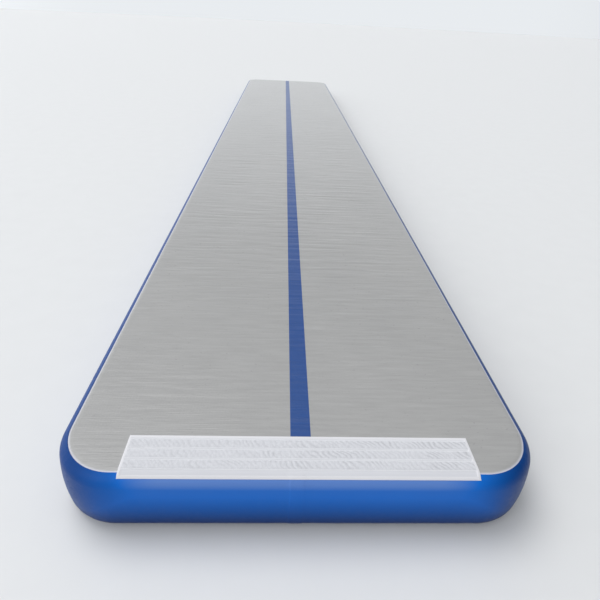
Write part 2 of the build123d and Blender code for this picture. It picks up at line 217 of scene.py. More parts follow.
def over_shoulder(x, run, depth):
    """A point on the near end's deck or shoulder. Run is 0 where the shoulder starts, and more down it."""
    run, depth = np.broadcast_arrays(run, depth)
    angle = 90 - np.degrees(np.maximum(run, 0) / SHOULDER_RADIUS)
    inset, height = edge_point(angle, depth)
    inset = np.where(run > 0, inset, SHOULDER_INSET - run)
    return np.stack([np.broadcast_to(x, inset.shape), inset - HALF_LENGTH, height + MID_HEIGHT], axis=-1)


# ---------------------------------------------------------------- shared mesh work

def grid_quads(rows, columns, wrap=False):
    """The quads of a grid of points, row after row. Wrap joins the last row to the first."""
    index = np.arange(rows * columns).reshape(rows, columns)
    if wrap:
        index = np.concatenate([index, index[:1]])
    corners = (index[:-1, :-1], index[:-1, 1:], index[1:, 1:], index[1:, :-1])
    return np.stack([c.ravel() for c in corners], axis=1)


def grid_outline(index):
    """The numbers round the outline of a grid of them, starting along its first row."""
    return np.concatenate([index[0, :-1], index[:-1, -1], index[-1, :0:-1], index[:0:-1, 0]])


def repeated(quads, copies, size):
    """The quads of several copies of a shape whose points follow each other, size points in each."""
    return (quads[None] + np.arange(copies)[:, None, None] * size).reshape(-1, 4)


def new_piece(name, points, faces, cloth, material, tone=None, sharp=40):
    """A mesh piece from points, quads and each point's place on the flat cloth, in metres.

    Tone runs from 0 to 1 at each point, and tells the material where to change its colour.
    """
    a, b, c, d = (points[faces[:, i]] for i in range(4))
    if (np.cross(c - a, d - b) * (a + c)).sum() < 0:
        faces = faces[:, ::-1]
    mesh = bpy.data.meshes.new(name)
    mesh.from_pydata(points.tolist(), [], faces.tolist())
    place = mesh.uv_layers.new(name="cloth")
    place.data.foreach_set("uv", cloth[faces.ravel()].astype(np.float32).ravel())
    if tone is not None:
        mesh.attributes.new("tone", "FLOAT", "POINT").data.foreach_set("value", tone.astype(np.float32))
    mesh.shade_smooth()
    mesh.set_sharp_from_angle(angle=radians(sharp))
    mesh.materials.append(material)
    piece = bpy.data.objects.new(name, mesh)
    bpy.context.scene.collection.objects.link(piece)
    return piece


def cloth_layer(name, outer, inner, quads, cloth, material, tone=None):
    """A closed layer of cloth from the points of its two sides, with a rim round every open edge."""
    count = len(outer)
    directed = np.concatenate([quads[:, [i, (i + 1) % 4]] for i in range(4)])
    _, first, uses = np.unique(np.sort(directed, axis=1), axis=0, return_index=True, return_counts=True)
    rim = directed[first[uses == 1]]
    sides = np.column_stack([rim[:, 1], rim[:, 0], rim[:, 0] + count, rim[:, 1] + count])
    faces = np.concatenate([quads, quads[:, ::-1] + count, sides])
    points = np.concatenate([outer, inner])
    if tone is not None:
        tone = np.concatenate([tone, tone])
    return new_piece(name, points, faces, np.concatenate([cloth, cloth]), material, tone)


def flat_points(points):
    """A grid of points as one list of them."""
    return points.reshape(-1, points.shape[-1])


def cloth_at(u, v):
    """Places on the flat cloth for a grid of points."""
    u, v = np.broadcast_arrays(u, v)
    return np.stack([u, v], axis=-1).reshape(-1, 2)


def settle(piece, body, slot, *nodes):
    """The piece rides on its body and stands for its CAD nodes, which are hidden. Slot is not used."""
    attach(piece, body)
    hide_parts(*nodes)
    return piece


# ---------------------------------------------------------------- materials

class Nodes:
    """A short way to add and link shader nodes."""

    def __init__(self, tree):
        self.tree = tree

    def feed(self, socket, value):
        """Gives an input socket a value, or a link from an output socket."""
        if isinstance(value, bpy.types.NodeSocket):
            self.tree.links.new(value, socket)
        else:
            socket.default_value = value

    def node(self, kind, inputs=(), **settings):
        made = self.tree.nodes.new(kind)
        for key, value in settings.items():
            setattr(made, key, value)
        for key, value in dict(inputs).items():
            self.feed(made.inputs[key], value)
        return made

    def math(self, operation, *values):
        return self.node("ShaderNodeMath", enumerate(values), operation=operation).outputs["Value"]

    def span(self, value, low, high, out_low, out_high, smooth=False):
        """Carries a value from one range to another, and holds it there."""
        inputs = {"Value": value, "From Min": low, "From Max": high, "To Min": out_low, "To Max": out_high}
        kind = "SMOOTHSTEP" if smooth else "LINEAR"
        return self.node("ShaderNodeMapRange", inputs, interpolation_type=kind).outputs["Result"]

    def mix(self, share, first, second):
        made = self.node("ShaderNodeMix", data_type="RGBA")
        for socket, value in ((0, share), (6, first), (7, second)):
            self.feed(made.inputs[socket], value)
        return made.outputs[2]


class Shader(Nodes):
    """A node material."""

    def __init__(self, name):
        self.material = bpy.data.materials.new(name)
        self.material.use_nodes = True
        super().__init__(self.material.node_tree)
        self.surface = self.tree.nodes["Principled BSDF"]

    def set(self, **values):
        """Sets sockets of the surface by name, with _ for a space."""
        for key, value in values.items():
            self.feed(self.surface.inputs[key.replace("_", " ")], value)

    def place(self, scale, on_cloth=True):
        """Texture coordinates: on the flat cloth, or in the object's own frame."""
        if on_cloth:
            source = self.node("ShaderNodeUVMap", uv_map="cloth").outputs["UV"]
        else:
            source = self.node("ShaderNodeTexCoord").outputs["Object"]
        return self.node("ShaderNodeMapping", {"Vector": source, "Scale": scale}).outputs["Vector"]

    def noise(self, scale, detail=3.0, rough=0.5, on_cloth=True):
        inputs = {"Vector": self.place(scale, on_cloth), "Scale": 1.0, "Detail": detail, "Roughness": rough}
        return self.node("ShaderNodeTexNoise", inputs).outputs["Fac"]

    def waves(self, scale, direction, distortion=0.0):
        inputs = {"Vector": self.place(scale), "Scale": 1.0, "Distortion": distortion}
        return self.node("ShaderNodeTexWave", inputs, bands_direction=direction).outputs["Fac"]

    def cells(self, scale):
        inputs = {"Vector": self.place(scale), "Scale": 1.0}
        return self.node("ShaderNodeTexVoronoi", inputs).outputs["Distance"]

    def tone(self):
        """The piece's own tone at each point, from 0 to 1."""
        return self.node("ShaderNodeAttribute", attribute_name="tone").outputs["Fac"]

    def height(self):
        """The height over the floor, in metres."""
        place = self.node("ShaderNodeTexCoord").outputs["Object"]
        return self.node("ShaderNodeSeparateXYZ", {"Vector": place}).outputs["Z"]

    def bump(self, *layers):
        """Bumps one on another, each a height socket and its depth in metres."""
        normal = None
        for height, depth in layers:
            inputs = {"Height": height, "Distance": depth, "Strength": 1.0}
            if normal is not None:
                inputs["Normal"] = normal
            normal = self.node("ShaderNodeBump", inputs).outputs["Normal"]
        self.tree.links.new(normal, self.surface.inputs["Normal"])


def colour(red, green, blue):
    """An opaque linear colour."""
    return (red, green, blue, 1.0)


# The wave texture has one band in this many units
WAVE = tau / 20


def weave(shader, pitch):
    """A plain weave on the flat cloth, threads one pitch apart."""
    scale = (WAVE / pitch,) * 3
    return shader.math("MULTIPLY", shader.waves(scale, "X"), shader.waves(scale, "Y"))


def coated_cloth(name, base, shade, dusty, rough, thread=1.1 * MM, stitched=0.0):
    """PVC-coated cloth: mottled colour, the weave showing through the coat, fine grain and faint scuffs.

    Stitched is the height of the drop-stitch rows that show through, with streaks and dimples beside them.
    """
    s = Shader(name)
    broad = s.noise((1.6, 0.9, 1), detail=4)
    fine = s.noise((45, 60, 1), detail=5, rough=0.6)
    tint = s.mix(s.span(broad, 0.3, 0.7, 0, 1), base, shade)
    layers = [(weave(s, thread), 0.06 * MM), (s.cells((900, 900, 1)), 0.03 * MM), (fine, 0.15 * MM)]
    if stitched:
        rows = s.waves((WAVE / (11 * MM),) * 3, "Y", distortion=0.6)
        along = s.waves((WAVE / (14 * MM),) * 3, "X", distortion=0.8)
        streaks = s.noise((5, 55, 1), detail=3, rough=0.6)
        dimples = s.span(s.cells((2.5, 2.5, 1)), 0.0, 0.03, 0.0, 1.0, smooth=True)
        tint = s.mix(s.span(streaks, 0.35, 0.65, 0.0, 0.16), tint, colour(*(c * 0.45 for c in base[:3])))
        stitches = s.math("ADD", rows, s.math("MULTIPLY", along, 0.4))
        layers = [(streaks, 16 * stitched), (dimples, 6 * stitched), (stitches, stitched), *layers]
    scuff = s.span(s.noise((3, 30, 1), detail=6, rough=0.7), 0.6, 0.8, 0, 0.35)
    s.colour = s.mix(s.math("MULTIPLY", scuff, fine), tint, dusty)
    s.set(Base_Color=s.colour, Roughness=s.span(fine, 0.3, 0.7, rough - 0.05, rough + 0.08))
    s.bump(*layers)
    return s


def make_deck_cloth():
    """Grey deck cloth, with a painted highlight: a paler margin along the seam."""
    s = coated_cloth(
        "deck_cloth", colour(0.374, 0.368, 0.361), colour(0.354, 0.349, 0.343), colour(0.49, 0.485, 0.48),
        0.31, stitched=0.14 * MM,
    )
    # Painted highlight: a paler, slightly blue colour where the tone marks the margin at the seam
    s.set(Base_Color=s.mix(s.tone(), s.colour, colour(0.60, 0.60, 0.66)))
    return s.material


def make_band_cloth():
    """Blue band cloth: painted shade makes it darker towards the floor and along the sides and corners, and a
    painted highlight, partly wear, makes the upper end walls paler.
    """
    s = coated_cloth(
        "band_cloth", colour(0.005, 0.145, 0.60), colour(0.004, 0.132, 0.56), colour(0.03, 0.18, 0.62), 0.36,
    )
    # Painted shade: a dark blue low down on the wall and along the sides and corners
    painted_shade_colour = colour(0.001, 0.028, 0.14)
    low_down = s.span(s.height(), 0.05, 0.21, 1.0, 0.0)
    painted_side_shade = s.span(s.tone(), 0.0, 0.5, 0.85, 0.0)
    # Painted highlight, partly wear: a paler blue high on the end walls
    rub_and_highlight = s.span(s.tone(), 0.5, 1.0, 0.0, 1.0)
    wear_and_shade = s.mix(s.math("MAXIMUM", low_down, painted_side_shade), s.colour, painted_shade_colour)
    s.set(Base_Color=s.mix(rub_and_highlight, wear_and_shade, colour(0.11, 0.23, 0.58)), Specular_IOR_Level=0.14)
    return s.material


def make_line_film():
    """The blue film of the centre line, with the drop-stitch rows showing through."""
    return coated_cloth(
        "line_film", colour(0.006, 0.060, 0.25), colour(0.005, 0.054, 0.23), colour(0.07, 0.13, 0.30), 0.36,
        stitched=0.12 * MM,
    ).material


def make_inner_cloth():
    """Pale cloth of the inner side wall and its strips."""
    return coated_cloth(
        "inner_cloth", colour(0.52, 0.53, 0.54), colour(0.47, 0.48, 0.50), colour(0.60, 0.60, 0.58), 0.55,
        thread=1.6 * MM,
    ).material


def make_pad_cloth():
    """White laminated cloth with a coarser weave."""
    s = coated_cloth(
        "pad_cloth", colour(0.66, 0.66, 0.69), colour(0.61, 0.61, 0.645), colour(0.70, 0.69, 0.69), 0.6,
        thread=1.5 * MM,
    )
    s.set(Sheen_Weight=0.15, Sheen_Roughness=0.5)
    return s.material


def make_pad_hem():
    """The white binding round the pad, brighter and finer than the pad."""
    s = coated_cloth(
        "pad_hem", colour(0.73, 0.72, 0.745), colour(0.69, 0.68, 0.705), colour(0.77, 0.77, 0.79), 0.5,
        thread=1.2 * MM,
    )
    s.set(Sheen_Weight=0.2, Sheen_Roughness=0.4)
    return s.material


def make_hook_tape():
    """Nylon hook tape: rows of fine hooks on a woven ground, with a broken, slightly glossy surface, and
    painted shade in its creases.
    """
    s = Shader("hook_tape")
    hooks = s.cells((620, 700, 1))
    clumps = s.noise((110, 60, 1), detail=4, rough=0.65)
    ground = s.mix(s.span(clumps, 0.3, 0.75, 0, 1), colour(0.56, 0.56, 0.59), colour(0.69, 0.69, 0.72))
    tips = s.span(hooks, 0.0, 0.5, 0.55, 0.0)
    # Painted shade: the creases get a dark grey
    creased = s.span(s.tone(), 0.0, 0.5, 0.75, 0.0)
    field = s.mix(tips, ground, colour(0.80, 0.80, 0.82))
    field = s.mix(creased, field, colour(0.36, 0.36, 0.38))
    selvage = s.span(s.tone(), 0.5, 1.0, 0.0, 0.6)
    s.set(Base_Color=s.mix(selvage, field, colour(0.78, 0.78, 0.80)))
    s.set(Roughness=s.span(hooks, 0, 0.6, 0.35, 0.7), Sheen_Weight=0.3, Sheen_Roughness=0.35)
    s.bump((clumps, 0.35 * MM), (hooks, 0.45 * MM))
    return s.material


def make_thread():
    """White polyester sewing thread, with its ply."""
    s = Shader("thread")
    ply = s.waves((90, 260, 0), "DIAGONAL")
    s.set(Base_Color=s.mix(ply, colour(0.66, 0.66, 0.68), colour(0.82, 0.82, 0.83)), Roughness=0.6)
    s.bump((ply, 0.05 * MM))
    return s.material


def make_yarn():
    """Bright polyester yarn, with its twist."""
    s = Shader("yarn")
    twist = s.waves((120, 420, 0), "DIAGONAL")
    s.set(Base_Color=s.mix(twist, colour(0.60, 0.60, 0.58), colour(0.80, 0.80, 0.78)), Roughness=0.65)
    s.set(Sheen_Weight=0.2, Sheen_Roughness=0.4)
    s.bump((twist, 0.1 * MM))
    return s.material


def make_moulded(name, base, wear_and_shade, rough):
    """Moulded plastic: a fine sparked grain, soft flow marks and paler rubbed edges."""
    s = Shader(name)
    grain = s.noise((2600, 2600, 2600), detail=2, on_cloth=False)
    flow = s.noise((60, 25, 60), detail=3, on_cloth=False)
    edges = s.span(s.node("ShaderNodeNewGeometry").outputs["Pointiness"], 0.51, 0.58, 0, 0.7)
    tint = s.mix(s.span(flow, 0.35, 0.65, 0, 1), base, tuple(c * 1.25 for c in base[:3]) + (1.0,))
    s.set(Base_Color=s.mix(edges, tint, wear_and_shade), Roughness=s.span(flow, 0.3, 0.7, rough - 0.06, rough + 0.08))
    s.bump((flow, 0.1 * MM), (grain, 0.05 * MM))
    return s.material


def make_rubber():
    """Black rubber with a dusty bloom."""
    s = Shader("valve_rubber")
    bloom = s.noise((180, 180, 180), detail=5, on_cloth=False)
    s.set(Base_Color=s.mix(bloom, colour(0.012, 0.012, 0.013), colour(0.045, 0.045, 0.047)), Roughness=0.75)
    s.bump((s.noise((1400, 1400, 1400), on_cloth=False), 0.05 * MM))
    return s.material


def make_spring_steel():
    """Bright steel with fine drawn lines."""
    s = Shader("spring_steel")
    drawn = s.noise((300, 3000, 300), detail=3, on_cloth=False)
    s.set(Metallic=1.0, Base_Color=s.mix(drawn, colour(0.42, 0.42, 0.44), colour(0.62, 0.62, 0.63)))
    s.set(Roughness=s.span(drawn, 0.3, 0.7, 0.25, 0.42))
    s.bump((drawn, 0.02 * MM))
    return s.material


deck_cloth = make_deck_cloth()
band_cloth = make_band_cloth()
line_film = make_line_film()
inner_cloth = make_inner_cloth()
pad_cloth = make_pad_cloth()
pad_hem = make_pad_hem()
hook_tape = make_hook_tape()
thread = make_thread()
yarn = make_yarn()
valve_plastic = make_moulded("valve_plastic", colour(0.030, 0.031, 0.034), colour(0.10, 0.10, 0.11), 0.42)
cap_plastic = make_moulded("cap_plastic", colour(0.016, 0.017, 0.019), colour(0.07, 0.07, 0.075), 0.36)
valve_rubber = make_rubber()
spring_steel = make_spring_steel()


# ---------------------------------------------------------------- the two skins

def deck_rows():
    """The rows across the deck: the Y of each, its half width, and the outward direction at its +X end."""
    turn = np.linspace(-90, 0, CORNER_ROWS + 1)
    near = PLAN_RADIUS * np.sin(np.radians(turn)) - SIDE_RUN
    half = END_RUN + PLAN_RADIUS * np.cos(np.radians(turn))
    steps = round(2 * SIDE_RUN / ROW_STEP)
    side = np.linspace(-SIDE_RUN, SIDE_RUN, steps + 1)[1:-1]
    y = np.concatenate([near, side, -near[::-1]])
    width = np.concatenate([half, np.full(len(side), half[-1]), half[::-1]])
    angle = np.concatenate([turn, np.zeros(len(side)), -turn[::-1]])
    return y, width, np.radians(angle)


def deck_columns(half_width):
    """The X positions along one row. The middle three stay on the centre line's edges and middle."""
    share = np.linspace(0, 1, DECK_COLUMNS)
    outer = LINE_HALF + (half_width - LINE_HALF) * share
    return np.concatenate([-outer[::-1], [0], outer])


def ripple(x, y, half_width, seed):
    """The height of the drop-stitch ripples of a skin. They die out towards its edge."""
    long_ribs = noise(x / RIPPLE_LENGTH, y / RIPPLE_PITCH, seed)
    short_ribs = noise(x / (RIPPLE_LENGTH / 2) + 7.3, y / (RIPPLE_PITCH * 0.75), seed + 1)
    to_side = half_width - np.abs(x)
    to_end = HALF_LENGTH - SHOULDER_INSET - np.abs(y)
    fading = fade(np.minimum(to_side, to_end), 0, RIPPLE_FADE)
    return RIPPLE_HEIGHT * (long_ribs + 0.5 * short_ribs) * fading


def skin_outward(angle, rows, columns):
    """The outward direction at each point of a skin's grid. Only those round its outline are used."""
    right = np.stack([np.cos(angle), np.sin(angle)], axis=1)
    outward = np.zeros((rows, columns, 2))
    outward[0], outward[-1] = (0, -1), (0, 1)
    outward[1:-1, -1] = right[1:-1]
    outward[1:-1, 0] = right[1:-1] * (-1, 1)
    return outward.reshape(-1, 2)


def skin_quads(rows, columns, loop):
    """The quads of a skin's flat, and of the rings of points round its outline."""
    rings = rows * columns + np.arange(len(SKIN_ANGLES) * len(loop)).reshape(len(SKIN_ANGLES), -1)
    tiers = np.concatenate([loop[None], rings])
    tiers = np.column_stack([tiers, tiers[:, :1]])
    strips = [c.ravel() for c in (tiers[:-1, 1:], tiers[:-1, :-1], tiers[1:, :-1], tiers[1:, 1:])]
    return np.concatenate([grid_quads(rows, columns), np.stack(strips, axis=1)])


def skin_piece(name, top, seed):
    """A skin: the flat of the deck row by row, and rings of points down the shoulder all round it."""
    y, width, angle = deck_rows()
    x = np.array([deck_columns(w) for w in width])
    rows, columns = x.shape
    height = ripple(x, y[:, None], width[:, None], seed)
    if not top:
        height = -np.abs(height)  # the underside lies on the floor, so its ripples only go inwards
    loop = grid_outline(np.arange(rows * columns).reshape(rows, columns))
    plan = np.stack([x, np.broadcast_to(y[:, None], x.shape)], axis=-1).reshape(-1, 2)
    outward = skin_outward(angle, rows, columns)[loop]
    layers, cloth, tone = [], [plan], [np.zeros(len(plan))]
    for depth in (SKIN_DEPTH, SKIN_DEPTH + SKIN_CLOTH):
        level = SHOULDER_HEIGHT + SHOULDER_RADIUS - depth + height.ravel()
        points = [np.column_stack([plan, level])]
        for down in SKIN_ANGLES:
            inset, rise = edge_point(np.array(float(down)), depth)
            reach = plan[loop] + outward * (SHOULDER_INSET - inset)
            points.append(np.column_stack([reach, np.full(len(loop), rise)]))
            if depth == SKIN_DEPTH:
                cloth.append(plan[loop] + outward * radians(90 - down) * SHOULDER_RADIUS)
                # The tone marks the deck's margin at the seam, where its material paints a highlight
                tone.append(np.full(len(loop), float(fade(down, SEAM_ANGLE + SEAM_HIGHLIGHT_ANGLE, SEAM_ANGLE + 1))))
        layers.append(np.concatenate(points))
    side = 1 if top else -1
    sides = [p * (1, 1, side) + (0, 0, MID_HEIGHT) for p in layers]
    quads = skin_quads(rows, columns, loop)
    piece = cloth_layer(name, *sides, quads, np.concatenate(cloth), deck_cloth, np.concatenate(tone))
    return piece


# ---------------------------------------------------------------- strips round the track

def straight(start, end, outward, step):
    """Places along a straight run, without its end: points and outward directions."""
    start, end = np.array(start, float), np.array(end, float)
    count = max(1, round(float(np.hypot(*(end - start))) / step))
    share = np.linspace(0, 1, count + 1)[:-1, None]
    return start + (end - start) * share, np.tile(np.array(outward, float), (count, 1))


def corner(centre, start, end, step):
    """Places round a corner of the widest line, without its end, between two directions in degrees."""
    count = max(1, round(radians(abs(end - start)) * CORNER_RADIUS / step))
    turn = np.radians(np.linspace(start, end, count + 1)[:-1])
    outward = np.stack([np.cos(turn), np.sin(turn)], axis=1)
    return np.array(centre) + outward * CORNER_RADIUS, outward


def join_path(*runs, end=None):
    """One path from several runs, with the distance walked along it. End adds one last place."""
    if end is not None:
        runs = (*runs, (np.array([end[0]], float), np.array([end[1]], float)))
    points = np.concatenate([r[0] for r in runs])
    outward = np.concatenate([r[1] for r in runs])
    steps = np.hypot(*np.diff(points, axis=0).T)
    return points, outward, np.concatenate([[0], np.cumsum(steps)])


def ring_path():
    """All the way round the widest line, in long steps but for the corners and the valve."""
    side_step, corner_step = 60 * MM, 12 * MM
    before_valve, after_valve = (VALVE_X - VALVE_BLOCK, HALF_LENGTH), (VALVE_X + VALVE_BLOCK, HALF_LENGTH)
    return join_path(
        straight((END_RUN, -HALF_LENGTH), (-END_RUN, -HALF_LENGTH), (0, -1), side_step),
        corner((-END_RUN, -SIDE_RUN), 270, 180, corner_step),
        straight((-HALF_WIDTH, -SIDE_RUN), (-HALF_WIDTH, SIDE_RUN), (-1, 0), side_step),
        corner((-END_RUN, SIDE_RUN), 180, 90, corner_step),
        straight((-END_RUN, HALF_LENGTH), before_valve, (0, 1), side_step),
        straight(before_valve, after_valve, (0, 1), VALVE_STEP),
        straight(after_valve, (END_RUN, HALF_LENGTH), (0, 1), side_step),
        corner((END_RUN, SIDE_RUN), 90, 0, corner_step),
        straight((HALF_WIDTH, SIDE_RUN), (HALF_WIDTH, -SIDE_RUN), (1, 0), side_step),
        corner((END_RUN, -SIDE_RUN), 0, -90, corner_step),
    )


def ring_walk_to_valve():
    """How far round the ring path the valve is."""
    points, _, walked = ring_path()
    on_far_wall = np.isclose(points[:, 1], HALF_LENGTH)
    return float(walked[on_far_wall & np.isclose(points[:, 0], VALVE_X)][0])


def cut_valve_hole(quads, walked, angles, hole_at):
    """Takes the grid's block round the valve out of its quads, and closes up to the hole's own round edge.

    Returns the quads, the block's outline, and the places round the hole, which are numbered after the grid.
    """
    in_block = VALVE_BLOCK + 0.1 * MM
    rows = np.flatnonzero(np.abs(walked - hole_at) <= in_block)
    columns = np.flatnonzero(np.radians(np.abs(angles)) * WALL_RADIUS <= in_block)
    index = np.arange(len(walked) * len(angles)).reshape(len(walked), len(angles))
    block = index[rows[0]:rows[-1] + 1, columns[0]:columns[-1] + 1]
    outline = grid_outline(block)
    edge = index.size + np.arange(len(outline))
    closing = np.stack([outline, np.roll(outline, -1), np.roll(edge, -1), edge], axis=1)
    quads = np.concatenate([quads[~np.isin(quads[:, 0], block[:-1, :-1])], closing])
    along = walked[outline // len(angles)] - hole_at
    up = np.radians(angles[outline % len(angles)]) * WALL_RADIUS
    turn = np.arctan2(up, along)
    edge_place = hole_at + WALL_HOLE_RADIUS * np.cos(turn)
    edge_angle = np.degrees(WALL_HOLE_RADIUS * np.sin(turn) / WALL_RADIUS)
    return quads, outline, edge_place, edge_angle


def strip_piece(name, path, angles, depth, thickness, material, closed=False, tone=None, hole_at=None):
    """A strip of cloth along a path round the track. Depth may differ from place to place.

    Hole_at is how far along the path the valve's hole is.
    """
    points, outward, walked = path
    place = np.repeat(walked, len(angles))
    angle = np.tile(angles, len(walked))
    depth = np.broadcast_to(depth, (len(walked), len(angles))).ravel()
    quads = grid_quads(len(walked), len(angles), wrap=closed)
    if hole_at is not None:
        quads, outline, edge_place, edge_angle = cut_valve_hole(quads, walked, angles, hole_at)
        place = np.concatenate([place, edge_place])
        angle = np.concatenate([angle, edge_angle])
        depth = np.concatenate([depth, depth[outline]])
        if tone is not None:
            tone = np.concatenate([tone, tone[outline]])
    middle = np.stack([np.interp(place, walked, points[:, i]) for i in (0, 1)], axis=1)
    facing = np.stack([np.interp(place, walked, outward[:, i]) for i in (0, 1)], axis=1)
    sides = []
    for level in (depth, depth + thickness):
        inset, height = edge_point(angle, level)
        sides.append(np.column_stack([middle - facing * inset[:, None], height + MID_HEIGHT]))
    return cloth_layer(name, *sides, quads, cloth_at(place, edge_walk(angle)), material, tone)


def ring_piece(name, angles, depth, thickness, hole_at=None):
    """An inner strip that goes all the way round."""
    path = ring_path()
    piece = strip_piece(name, path, angles, depth, thickness, inner_cloth, closed=True, hole_at=hole_at)
    return piece


def join_strip_piece():
    """The strip over the butt joint of the inner side wall, between the two edge strips."""
    low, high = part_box("inner_sidewall_join_tape")
    start, end = (low.x, HALF_LENGTH), (high.x, HALF_LENGTH)
    path = join_path(straight(start, end, (0, 1), 8 * MM), end=(end, (0, 1)))
    angles = section_angles(EDGE_TAPE_ANGLES[0] - 0.2)
    piece = strip_piece("inner_wall_join_strip", path, angles, TAPE_DEPTH, TAPE_CLOTH, inner_cloth)
    return piece


def band_path():
    """The left half of the widest line, from the lap at the near end round to the lap at the far end.

    The steps are short where the band steps out, beside the pad, and at the valve once it is turned round.
    """
    near_places = (
        (BAND_LAP_EDGE, 3 * MM), (JOGGLE - BAND_LAP, 1 * MM), (-BAND_LAP, 20 * MM),
        (VALVE_BLOCK - VALVE_X, VALVE_STEP), (-VALVE_BLOCK - VALVE_X, 3 * MM), (-END_RUN, None),
    )
    near_runs = [
        straight((start, -HALF_LENGTH), (end, -HALF_LENGTH), (0, -1), step)
        for (start, step), (end, _) in zip(near_places, near_places[1:])
    ]
    return join_path(
        *near_runs,
        corner((-END_RUN, -SIDE_RUN), 270, 180, 5 * MM),
        straight((-HALF_WIDTH, -SIDE_RUN), (-HALF_WIDTH, SIDE_RUN), (-1, 0), 34 * MM),
        corner((-END_RUN, SIDE_RUN), 180, 90, 5 * MM),
        straight((-END_RUN, HALF_LENGTH), (BAND_LAP - BAND_LAP_EDGE, HALF_LENGTH), (0, 1), 16 * MM),
        end=((BAND_LAP - BAND_LAP_EDGE, HALF_LENGTH), (0, 1)),
    )


def band_relief(points, walked, angles, seed):
    """How far the band stands proud: long soft billows, puckers at the corner seams and pulls beside the pad.

    It is flat where the valve's patch lies.
    """
    along, up = walked[:, None], edge_walk(angles)[None, :]
    billow = 0.5 + 0.5 * noise(along / 0.55, up / 0.16 + 3, seed)
    in_corner = fade(np.abs(points[:, 0]), END_RUN - 0.05, END_RUN + 0.05)
    in_corner = in_corner * fade(np.abs(points[:, 1]), SIDE_RUN - 0.05, SIDE_RUN + 0.05)
    at_seam = fade(edge_walk(SEAM_ANGLE) - np.abs(up), 70 * MM, 0)
    pucker = fade(noise(along / (17 * MM), up / 0.2, seed + 1), 0.0, 0.9) * at_seam * in_corner[:, None]
    at_lap = fade(np.abs(points[:, 0]), 0.16, 0.03)[:, None]
    beside_pad = np.abs(points[:, 0]) - PAD_HALF - 4 * MM
    down_pad = edge_walk(90) - up - PAD_FRONT_RUN
    reach = np.hypot(beside_pad[:, None], down_pad)
    drag = fade(noise((beside_pad[:, None] - down_pad) / (9 * MM), reach / 0.05, seed + 2), -0.2, 0.8)
    drag = drag * fade(reach, 60 * MM, 8 * MM)
    relief = 0.7 * MM * billow * (1 - at_lap) + 0.55 * MM * pucker + 0.6 * MM * drag
    off_valve = fade(np.hypot(points[:, 0][:, None] + VALVE_X, up), 70 * MM, 110 * MM)
    return relief * np.where(points[:, 1][:, None] < 0, off_valve, 1)


def band_tone(points, angles):
    """The band's tone: 0 along the sides and corners, where the material paints shade; 0.5 elsewhere; 1 high
    on the end walls, where it paints a highlight that is partly wear from being stepped on.
    """
    on_side = fade(np.abs(points[:, 0]), END_RUN - 0.12, HALF_WIDTH - 0.08)[:, None]
    on_end = fade(np.abs(points[:, 0]), END_RUN + 0.02, END_RUN - 0.2)[:, None]
    on_end = on_end * (np.abs(points[:, 1]) > SIDE_RUN)[:, None]
    return 0.5 - 0.5 * on_side + 0.5 * on_end * fade(angles, -1, 34)[None, :]


def band_piece(name, turned, seed):
    """Half of the side band. Its first end steps out over the other half, whose last end lies under it.

    Turned half round, it is the other half, which has the valve's hole.
    """
    path = band_path()
    points, outward, walked = path
    angles = section_angles(SEAM_ANGLE, shoulder_step=4.3)
    at_near_end = points[:, 1] < 0
    step_out = fade(points[:, 0], -BAND_LAP, -BAND_LAP + JOGGLE) * at_near_end
    under = fade(points[:, 0], -BAND_LAP, -BAND_LAP + JOGGLE) * ~at_near_end
    relief = band_relief(points, walked, angles, seed) * (1 - under[:, None])
    depth = -SKIN_DEPTH * step_out[:, None] - relief
    tone = band_tone(points, angles).ravel()
    hole_at = None
    if turned:
        path = (-points, -outward, walked)
        hole_at = BAND_LAP_EDGE + VALVE_X
    piece = strip_piece(name, path, angles, depth, BAND_CLOTH, band_cloth, tone=tone, hole_at=hole_at)
    return piece


# ---------------------------------------------------------------- line and joining pad

def line_piece():
    """The film of the centre line, which follows the deck's ripples."""
    low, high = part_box("centre_line")
    y, width, _ = deck_rows()
    inside = (y > low.y) & (y < high.y)
    y = np.concatenate([[low.y], y[inside], [high.y]])
    width = np.concatenate([width[:1], width[inside], width[-1:]])
    x = np.array([[-LINE_HALF, 0, LINE_HALF]])
    bottom = THICKNESS + GLUE + ripple(x, y[:, None], width[:, None], DECK_SEED)
    top = bottom + (high.z - low.z)
    plan = np.stack(np.broadcast_arrays(x, y[:, None]), axis=-1)
    sides = [flat_points(np.concatenate([plan, z[..., None]], axis=-1)) for z in (top, bottom)]
    piece = cloth_layer("centre_line_film", *sides, grid_quads(len(y), 3), flat_points(plan), line_film)
    return piece


def lap_bump(x, run):
    """How far the pad is lifted where it passes over the lap of the side bands."""
    across = fade(x, -BAND_LAP - 4 * MM, -BAND_LAP + JOGGLE) * fade(x, BAND_LAP_EDGE + 4 * MM, BAND_LAP_EDGE)
    return SKIN_DEPTH * across * fade(run, SEAM_RUN - 6 * MM, SEAM_RUN + 2 * MM)


def pad_swell(x, run):
    """The pad's own soft unevenness."""
    quilt = 0.5 + 0.5 * noise(x / 0.045, run / 0.018 + 5, PAD_SEED)
    to_edge = np.minimum(PAD_HALF - np.abs(x), np.minimum(run - PAD_BACK_RUN, PAD_FRONT_RUN - run))
    return 0.3 * MM * quilt * fade(to_edge, 0, HEM_WIDTH)


def pad_top(x, run):
    """The depth of the pad's upper side: less than nothing, because it stands proud of the band."""
    return -PAD_RISE - lap_bump(x, run) - pad_swell(x, run)


def pad_under(x, run):
    """The depth of the pad's underside, which steps up from the deck on to the side band."""
    on_band = fade(run, SEAM_RUN - 3 * MM, SEAM_RUN - 1 * MM)
    return (SKIN_DEPTH - GLUE) * (1 - on_band) - GLUE * on_band - lap_bump(x, run)


